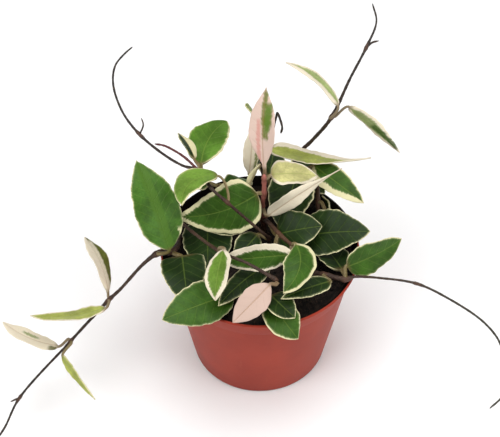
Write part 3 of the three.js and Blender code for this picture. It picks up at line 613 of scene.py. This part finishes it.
# Each row: name, slot, stem, the point of the stem that it grows from, foot and tip of the blade, width,
# roll, and what differs from a plain leaf; then its green, its border's colour and the border's width
# on each side of the midrib, and patches of another colour: from and to as shares of the blade's
# length, then from and to in millimetres across it.
leaves = [
    ("left_leaf_1", "leaf_green", "left_stem", 4, (-47, -12, 92), (-64, 23, 122), 26, 5,
     {"heel": 0.74, "point": 1}, LEAF, CREAM, 0.35, 0.35,
     [(MEADOW, -0.1, 0.97, -2.2, 3.2), (CREAM, -0.1, 0.2, 7.5, 15)]),
    ("trail_leaf_1", "leaf_pale", "left_stem", 7, (-80, -19, 66), (-93, 7, 80), 14.5, 45,
     {"petiole": 0.8, "heel": 0.9, "point": 0.8, "sweep": 0.02}, MOSS, IVORY, 9, 0.2,
     [(IVORY, -0.1, 0.92, -1, 2.4)]),
    ("trail_leaf_2", "leaf_pale", "left_stem", 7, (-80.7, -29.8, 65.8), (-120, -31, 61.5), 13, 25,
     {"petiole": 0.8, "arch": -0.05, "sweep": -0.05}, LIME, IVORY, 0.4, 1.0, []),
    ("trail_leaf_3", "leaf_pale", "left_stem", 8, (-107, -37.5, 43), (-136, -28, 52), 14, 25,
     {"petiole": 0.8, "arch": -0.04, "sweep": -0.08, "heel": 0.6}, LIME, IVORY, 9, 9,
     [(MOSS, -0.1, 0.14, -9, -1.5), (SAGE, 0.35, 0.62, 1.5, 3.6)]),
    ("trail_leaf_4", "leaf_dark", "left_stem", 8, (-104, -43, 42), (-86, -65, 34), 6, 70,
     {"petiole": 0.8, "sweep": -0.05, "point": 1}, LIME, CREAM, 0.25, 0.25, []),
    ("upper_left_leaf_1", "leaf_green", "upper_left_stem", 6, (-30.8, 29.9, 112), (-17.7, 62.1, 112), 21, 0,
     {"sweep": -0.08, "heel": 0.62, "point": 0.72}, MEADOW, CREAM, 0.3, 0.9, []),
    ("upper_left_leaf_2", "leaf_dark", "upper_left_stem", 6, (-34.3, 25.8, 120.4), (-43, 42, 123), 9, 35,
     {"petiole": 0.8, "heel": 0.6}, SHADED_DEEP_GREEN, CREAM, 0.2, 9, []),
    ("upper_left_leaf_3", "leaf_green", "upper_left_stem", 4, (-22, 14, 120), (-39.5, -6.4, 120), 16.5, 9,
     {"petiole": 0.75, "sweep": 0.24}, FRESH, CREAM, 0.9, 0.4, []),
    ("crown_leaf_1", "leaf_pink", "crown_stem", 4, (2.2, 17.6, 122), (2.9, 40.5, 157), 16, -27,
     {"heel": 1.3, "point": 1.25}, FRESH, BLUSH, 9, 9,
     [(ROSE_STRIPE, -0.1, 0.6, -3.4, -1.2), (OLIVE, 0.38, 0.66, -0.4, 3.4), (OLIVE, 0.56, 0.84, -0.9, 5.4),
      (OLIVE, 0.8, 0.98, -0.7, 2.0), (FRESH, 0.5, 0.8, 1.4, 4.4)]),
    ("crown_leaf_2", "leaf_pink", "back_stem", 3, (-5.8, 30, 105), (-3.8, 37, 132), 9, 20,
     {"heel": 0.8}, LIME, IVORY, 9, 9, [(OLIVE, 0.1, 0.85, 2.0, 3.4)]),
    ("crown_leaf_3", "leaf_pale", "back_stem", 4, (2.1, 44, 116), (-7.6, 44, 141), 12, 20,
     {"heel": 0.7, "point": 0.5}, OLIVE, CREAM, 0.3, 0.3, []),
    ("crown_leaf_4", "leaf_pale", "crown_stem", 4, (5.6, 16.4, 117.8), (30, 22, 111), 17, 5,
     {"heel": 0.42}, LEMON, IVORY, 1.0, 1.6, []),
    ("crown_leaf_5", "leaf_green", "crown_stem", 3, (-1.8, 14.6, 106), (-44, 5, 99), 29, -60,
     {"cup": 0.2, "point": 1.1, "sweep": -0.07}, GREEN, CREAM, 2.4, 2.4, []),
    ("crown_leaf_6", "leaf_pink", "crown_stem", 2, (4.4, 7, 98), (41.6, 14.5, 125), 10, 72,
     {"heel": 0.6, "point": 1.9, "sweep": -0.05, "wave": 0.14}, SAGE, IVORY, 9, 9, []),
    ("crown_leaf_7", "leaf_dark", "back_right_stem", 3, (19.7, 36, 98), (11.7, 8, 84), 25, 0,
     {}, SHADED_DEEP_GREEN, CREAM, 0.8, 0.4, []),
    ("crown_leaf_8", "leaf_dark", "crown_side_shoot", 1, (9, 1, 89), (32, -1, 98), 22, 25,
     {}, SHADED_DEEP_GREEN, CREAM, 0.25, 0.45, []),
    ("crown_leaf_9", "leaf_pale", "back_stem", 3, (6, 44.2, 109.5), (57.8, 30, 117), 19, -22,
     {"arch": -0.075, "twist": -25, "point": 1.4}, LIME, IVORY, 4.2, 0.6, []),
    ("crown_leaf_10", "leaf_dark", "crown_stem", 2, (-5, 12, 93), (-29, 4, 90), 17, -35,
     {}, SHADED_DEEP_GREEN, CREAM, 0.5, 0.4, []),
    ("crown_leaf_11", "leaf_dark", "upper_left_stem", 1, (-1.5, 3, 86.5), (-13, -11.6, 83), 14, -20,
     {"heel": 0.6}, SHADED_DEEP_GREEN, CREAM, 0.5, 0.4, []),
    ("crown_leaf_12", "leaf_pale", "crown_stem", 2, (-6.3, 18.8, 107), (-0.1, 21.5, 121), 4.5, -80,
     {}, LEMON, CREAM, 9, 9, []),
    ("front_leaf_1", "leaf_green", "crown_side_shoot", 3, (18, -15.5, 100.5), (11.3, -42.9, 95), 17.5, 10,
     {"cup": 0.5, "sweep": -0.2, "heel": 0.8, "point": 0.9}, GREEN, CREAM, 1.6, 0.6, []),
    ("front_leaf_2", "leaf_pale", "crown_side_shoot", 3, (17.4, -19.4, 97.5), (-20, -24.5, 98), 15, -60,
     {"heel": 0.75, "sweep": 0.03}, GREEN, IVORY, 1.4, 3.4, []),
    ("front_leaf_3", "leaf_pale", "front_left_stem", 4, (-18.2, -23.2, 105.2), (-22.5, -48.4, 96), 14.5, 25,
     {"heel": 0.65}, FRESH, IVORY, 2.4, 1.8, []),
    ("front_leaf_4", "leaf_pink", "front_left_stem", 8, (4.6, -39.3, 97.6), (-13.9, -55.9, 88), 14.5, -32,
     {"heel": 0.72, "point": 0.9}, SAGE, SHADED_BLUSH, 9, 9, []),
    ("front_leaf_5", "leaf_dark", "crown_side_shoot", 2, (3.9, -17.8, 87), (-21.1, -46.5, 89.5), 13, -10,
     {"arch": 0, "sweep": 0.04, "cup": 0.1}, SHADED_DEEP_GREEN, CREAM, 0.5, 0.5, []),
    ("front_leaf_6", "leaf_green", "front_stem", 2, (-14, -34.6, 84), (-49, -54.2, 88), 23, -20,
     {"arch": 0.04, "heel": 0.65}, GREEN, CREAM, 0.35, 0.6, []),
    ("front_leaf_7", "leaf_green", "front_stem", 2, (5.9, -41.6, 84), (18.9, -55.9, 74.5), 18.5, 10,
     {"arch": 0.14, "sweep": 0.05}, GREEN, CREAM, 0.5, 0.9, []),
    ("front_leaf_8", "leaf_dark", "front_stem", 1, (5.3, -38.9, 87.6), (17.2, -51.6, 86.2), 17, -5,
     {"sweep": 0.05}, SHADED_DEEP_GREEN, CREAM, 0.4, 0.5, []),
    ("right_leaf_1", "leaf_green", "right_stem", 3, (44.5, -20, 89), (73, -6, 94), 19, 70,
     {}, GREEN, CREAM, 0.6, 0.5, []),
    ("right_leaf_2", "leaf_dark", "right_stem", 3, (42, -18, 83), (31, 4, 79), 17, 10,
     {}, SHADED_DEEP_GREEN, CREAM, 0.4, 0.4, []),
    ("right_leaf_3", "leaf_dark", "right_stem", 2, (35.2, -30, 88), (10.2, -42.9, 90.5), 10.5, -15,
     {}, SHADED_DEEP_GREEN, CREAM, 0.5, 0.5, []),
    ("right_leaf_4", "leaf_dark", "back_right_stem", 0, (21, 3, 85), (57, -2, 95), 26, 20,
     {}, SHADED_DEEP_GREEN, CREAM, 0.25, 0.5, []),
    ("right_leaf_5", "leaf_dark", "back_right_stem", 3, (28.7, 36, 104.2), (54, 12.5, 101), 14.5, 25,
     {"arch": 0.03}, GREEN, CREAM, 0.6, 3.2, []),
    ("low_left_leaf_1", "leaf_dark", "back_left_stem", 1, (-28, 16, 82), (-27, -22, 80), 27, 0,
     {}, SHADED_DEEP_GREEN, CREAM, 0.4, 0.5, []),
    ("low_left_leaf_2", "leaf_dark", "left_stem", 3, (-40.5, -12, 86.5), (-36.5, -44, 86), 24, 0,
     {"heel": 0.3}, SHADED_DEEP_GREEN, CREAM, 0.4, 0.4, []),
    ("upper_right_leaf_1", "leaf_pale", "upper_right_stem", 4, (39.5, 39, 146), (13, 56, 160), 8.5, 15,
     {"petiole": 0.75, "heel": 0.5, "sweep": 0.08}, SAGE, IVORY, 2.4, 1.3, []),
    ("upper_right_leaf_2", "leaf_green", "upper_right_stem", 4, (46, 44, 140), (72, 27, 124), 9.5, -90,
     {"petiole": 0.75, "sweep": -0.035}, SAGE, IVORY, 2.4, 1.4, [(GREEN, 0.42, 0.96, -0.6, 2.6)]),
    ("back_leaf_1", "leaf_dark", "back_stem", 1, (5, 44, 88), (8, 68, 84), 18, 10,
     {}, SHADED_DEEP_GREEN, CREAM, 0.6, 0.6, []),
    ("back_leaf_2", "leaf_green", "back_left_stem", 2, (-18, 35, 89), (-4, 44, 83), 15, -10,
     {}, GREEN, CREAM, 0.6, 0.6, []),
    ("back_leaf_3", "leaf_dark", "back_left_stem", 2, (-27, 35, 92), (-43, 38, 89), 14, 0,
     {}, GREEN, CREAM, 0.7, 0.7, []),
    ("back_leaf_4", "leaf_dark", "upper_right_stem", 1, (22.6, 42.4, 89.6), (35, 32, 87), 14, 0,
     {}, SHADED_DEEP_GREEN, CREAM, 0.5, 0.5, []),
    ("back_leaf_5", "leaf_dark", "back_right_stem", 0, (37.5, 21.5, 84), (33.5, 30, 87.5), 8, 75,
     {}, SHADED_DEEP_GREEN, CREAM, 0.5, 0.5, []),
    ("back_leaf_6", "leaf_dark", "upper_right_stem", 1, (21, 47.8, 87.5), (30, 64, 83), 15, 0,
     {}, SHADED_DEEP_GREEN, CREAM, 0.7, 0.7, []),
    ("back_leaf_7", "leaf_dark", "back_right_stem", 1, (38, 15, 82), (49, 1, 82), 12, 0,
     {}, SHADED_DEEP_GREEN, CREAM, 0.5, 0.5, []),
]


def blade_outline(s, heel, point):
    """Half width at the share s of the blade's length, as a share of the widest."""
    widest = heel / (heel + point)
    return (s / widest) ** heel * ((1 - s) / (1 - widest)) ** point


def soft_step(value, low, high):
    """0 below low, 1 above high, and a soft step between them, for plain numbers."""
    share = min(1.0, max(0.0, (value - low) / (high - low)))
    return share * share * (3 - 2 * share)


def direction(curve, t):
    """The direction in which a curve runs at t, from 0 at its start to 1 at its end."""
    return (curve(min(1, t + 0.01)) - curve(max(0, t - 0.01))).normalized()


def leaf_solid(stem, node, foot, tip, width, roll, bends):
    """A leaf in one piece, with marks: millimetres along the blade (negative on the petiole), millimetres
    across it from the midrib, and millimetres in from its edge."""
    form = {**PLAIN_LEAF, **bends}
    foot, tip = Vector(foot), Vector(tip)
    length = (tip - foot).length
    along = (tip - foot).normalized()
    level = along.cross(Vector((0, 0, 1))).normalized()
    side = Matrix.Rotation(math.radians(roll), 3, along) @ level
    up = side.cross(along)

    def midrib(s):
        bulge = 4 * s * (1 - s) * length
        return foot + along * (s * length) + up * (bulge * form["arch"]) + side * (bulge * form["sweep"])

    grown_on = stems[stem]
    points = [Vector(row[:3]) for row in grown_on["points"]]
    anchor = points[node]
    tangent = heading(points, node / (len(points) - 1))
    out = foot - anchor
    out = (out - tangent * out.dot(tangent)).normalized()
    skin = anchor + out * (grown_on["points"][node][3] + NODE_SWELL + GAP / MM)
    reach = (foot - skin).length
    petiole = [skin, skin + out * (reach * PETIOLE_BEND_OUT),
               foot - direction(midrib, 0) * (reach * PETIOLE_BEND_IN), foot]
    buried = skin - out * (NODE_SWELL + GAP / MM + PETIOLE_DEPTH)

    def petiole_at(t):
        a, b, c, d = petiole
        return a * (1 - t) ** 3 + b * (3 * t * (1 - t) ** 2) + c * (3 * t * t * (1 - t)) + d * t ** 3

    thick = form["petiole"]
    spread = thick * PETIOLE_SPREAD
    rows = [(buried, out, side, spread, spread, 0, 0, None, -(foot - buried).length)]
    for i in range(PETIOLE_ROWS):
        t = i / PETIOLE_ROWS
        centre = petiole_at(t)
        radius = thick * (1 - PETIOLE_TAPER * t)
        rows.append((centre, direction(petiole_at, t), side, radius, radius, 0, 0, None,
                     -(foot - centre).length))
    for i in range(BLADE_ROWS + 1):
        s = (1 - math.cos(math.pi * i / BLADE_ROWS)) / 2
        fullness = blade_outline(s, form["heel"], form["point"]) if 0 < s < 1 else 0.0
        run = s * length
        narrowest = thick * FOOT_FULLNESS if s < 0.5 else TIP_HALF_WIDTH
        scallop = 1 + SCALLOP * math.sin(run * SCALLOP_RATE + width) * math.sin(run * SCALLOP_DRIFT)
        half_width = max(narrowest, fullness * width / 2 * scallop)
        thinned = soft_step(s, 0, FOOT_END)
        middle = thick * FOOT_FULLNESS
        middle += (BLADE_THICKNESS / 2 - middle) * thinned
        middle *= 1 - TIP_THINNING * s * s
        edge = thick * FOOT_EDGE
        edge += (EDGE_THICKNESS / 2 - edge) * thinned
        edge = min(edge, middle)
        turn = Matrix.Rotation(math.radians(form["twist"] * (s - TWIST_CENTRE)), 3, along)
        wave = (form["wave"] * width * fullness, s * WAVES_ALONG_EDGE + width)
        rows.append((midrib(s), direction(midrib, s), turn @ side, half_width, middle, edge,
                     form["cup"] * fullness, wave, run))

    def place(row, corner):
        centre, ahead, across, half_width, middle, edge, cup, wave, run = rows[row]
        across = (across - ahead * across.dot(ahead)).normalized()
        normal = across.cross(ahead)
        angle = 2 * math.pi * corner / LEAF_SIDES
        # u goes from -1 to 1 across the leaf, and face is above 0 on its upper side. The petiole's rows
        # have no wave, and are round.
        u, face = math.cos(angle), math.sin(angle)
        x = half_width * (math.sin(cup * u) / cup if cup > 1e-3 else u)
        height = half_width * (1 - math.cos(cup * u)) / cup if cup > 1e-3 else 0.0
        if wave:
            lift, phase = wave
            lag = 0 if u > 0 else WAVE_OFFSET
            height += lift * u * u * math.sin(phase + lag)
            height += RIPPLE * cup * abs(u) ** 3 * math.sin(run * RIPPLE_RATE + lag)
            depth = edge + (middle - edge) * (1 - u * u)
            rounding = math.sqrt(max(0.0, 1 - abs(u) ** EDGE_SQUARENESS))
            height += math.copysign(depth * rounding, face)
        else:
            height += face * middle
        if wave and face > 0:
            fold = math.exp(-((x / CREASE_HALF_WIDTH) ** 2))
            height -= CREASE_DEPTH * fold * soft_step(run, 0, CREASE_START)
        return centre + across * x + normal * height, (run, x, half_width * (1 - abs(u)))

    return wound(len(rows), LEAF_SIDES, place, "leaf_place"), length


def band(skin, value, low, high, fray):
    """1 where a value is between low and high, with each end frayed by so much on both its sides."""
    return skin.rise(value, low - fray, low + fray) - skin.rise(value, high - fray, high + fray)


def mixed(share, first, second):
    """A screen colour between two, by a share of the second."""
    return tuple((1 - share) * a + share * b for a, b in zip(first, second))


def leaf_skin(name, number, length, heart, border, left, right, patches):
    """Waxy leaf skin: a mottled green heart with a midrib and side veins, and a ragged border that
    follows the edge."""
    skin = Finish(name, roughness=0.45, gloss=0.16)
    marks = skin.add("ShaderNodeAttribute", {"attribute_name": "leaf_place"}, out="Vector")
    run, across, rim = skin.split(marks)
    seed = (number * 17.3, number * 5.9, 0.0)
    flat = skin.stretched(marks, 1, 1, 0, seed)
    slant = run - abs(across) * VEIN_SLANT
    cloud = skin.spots(flat, scale=0.09)
    mottle = skin.spots(flat, scale=0.9, detail=4.0, roughness=0.6)
    streaked = skin.add("ShaderNodeCombineXYZ", None, {0: slant, 1: abs(across) * 0.25, 2: number * 3.1})
    streak = skin.spots(streaked, scale=0.8, roughness=0.6)
    right_side = skin.rise(across, -0.2, 0.2)
    border_width = left + (right - left) * right_side
    ragged = (streak - 0.5) * (1.1 + 0.5 * border_width) + (cloud - 0.5) * 1.2
    limit = border_width + ragged
    dark = tuple(0.7 * c for c in heart)
    bright = tuple(min(255, 1.22 * c + 6) for c in heart)
    green = skin.blend(skin.rise(cloud, 0.35, 0.68), tone(*heart), tone(*bright))
    green = skin.blend(skin.rise(mottle, 0.42, 0.7) * 0.3, green, tone(*dark))
    off_vein = skin.math("PINGPONG", slant + (cloud - 0.5) * 3, VEIN_SPACING)
    vein = (1 - skin.rise(off_vein, 0.0, 0.5)) * skin.rise(rim, 0.3, 2.0)
    rib_width = 0.55 - 0.3 * (run / length)
    rib = 1 - skin.rise(abs(across), rib_width * 0.5, rib_width)
    pale = mixed(0.5, heart, VEIN_GREEN)
    green = skin.blend(vein * 0.22, green, tone(*pale))
    green = skin.blend(rib * 0.55, green, tone(*pale))
    pale_zone = skin.rise(limit + 0.9 - rim, 0.0, 0.5)
    border_zone = skin.rise(limit - rim, -0.2, 0.25)
    edge = skin.blend(skin.rise(mottle, 0.4, 0.8) * 0.3, tone(*border), tone(*mixed(0.4, border, FLUSH)))
    colour = skin.blend(pale_zone * 0.45, green, tone(*mixed(0.5, heart, border)))
    colour = skin.blend(border_zone, colour, edge)
    for patch, start, end, first, last in patches:
        within = band(skin, across + (streak - 0.5) * 2.4, first, last, 0.6)
        within *= band(skin, run + (cloud - 0.5) * 6, start * length, end * length, 1.5)
        colour = skin.blend(within * (0.55 + mottle * 0.6), colour, tone(*patch))
    colour = skin.blend(rib * border_zone * 0.4, colour, tone(*RIB_BROWN))
    blade = skin.rise(run, -1.0, 2.5)
    colour = skin.blend((1 - blade) * 0.85, colour, tone(*PETIOLE_BROWN))
    skin.paint({"Base Color": colour, "Roughness": 0.36 + mottle * 0.14})
    skin.dent(mottle * 0.25 - vein * 0.3 - rib * 0.5, 0.25 * MM)
    return skin.material


for number, row in enumerate(leaves):
    name, slot, stem, node, foot, tip, width, roll, bends, heart, border, left, right, patches = row
    work, length = leaf_solid(stem, node, foot, tip, width, roll, bends)
    leaf = piece_from(name + "_blade", work)
    skin = leaf_skin(name + "_skin", number, length, heart, border, left, right, patches)
    leaf.data.materials.append(skin)
    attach(leaf, "root")
    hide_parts(name)

# ---------------------------------------------------------------- the studio
# A plain white table, wide enough to be the backdrop too, under three broad soft lights. The camera
# looks down on it from in front, as in the photo, whose own frame gives its focal length.
FOCAL_PIXELS = 1396
PHOTO_WIDTH = 500
SENSOR_WIDTH = 36.0
LOOKING_DOWN = 48.4
TABLE_REACH = 6.0
scene = bpy.context.scene
scene.view_settings.view_transform = "Standard"

table_work = bmesh.new()
bmesh.ops.create_grid(table_work, x_segments=1, y_segments=1, size=TABLE_REACH)
table = piece_from("white_table", table_work)
table_paint = Finish("white_paper", roughness=0.9, gloss=0.1)
table_paint.paint({"Base Color": tone(252, 252, 252)})
table.data.materials.append(table_paint.material)

world = bpy.data.worlds.new("studio")
scene.world = world
world.use_nodes = True
sky = world.node_tree.nodes["Background"].inputs
sky["Color"].default_value = (1, 1, 1, 1)
sky["Strength"].default_value = 0.4

aim = Vector((0, 0, 0.05))
for name, place, size, power in (("key_light", (-0.7, -0.7, 1.1), 0.9, 8.0),
                                 ("fill_light", (0.9, -0.5, 0.9), 0.9, 6.0),
                                 ("top_light", (0.0, 0.1, 1.5), 1.0, 10.0)):
    lamp = bpy.data.lights.new(name, "AREA")
    lamp.shape = "DISK"
    lamp.size = size
    lamp.energy = power
    light = bpy.data.objects.new(name, lamp)
    light.location = place
    light.rotation_euler = (aim - Vector(place)).to_track_quat("-Z", "Y").to_euler()
    scene.collection.objects.link(light)

lens = bpy.data.cameras.new("camera")
lens.sensor_width = SENSOR_WIDTH
lens.lens = SENSOR_WIDTH * FOCAL_PIXELS / PHOTO_WIDTH
lens.clip_start = 0.01
camera = bpy.data.objects.new("camera", lens)
camera.location = (-0.0053, -0.4773, 0.6405)
camera.rotation_euler = (math.radians(90 - LOOKING_DOWN), 0, 0)
scene.collection.objects.link(camera)
scene.camera = camera
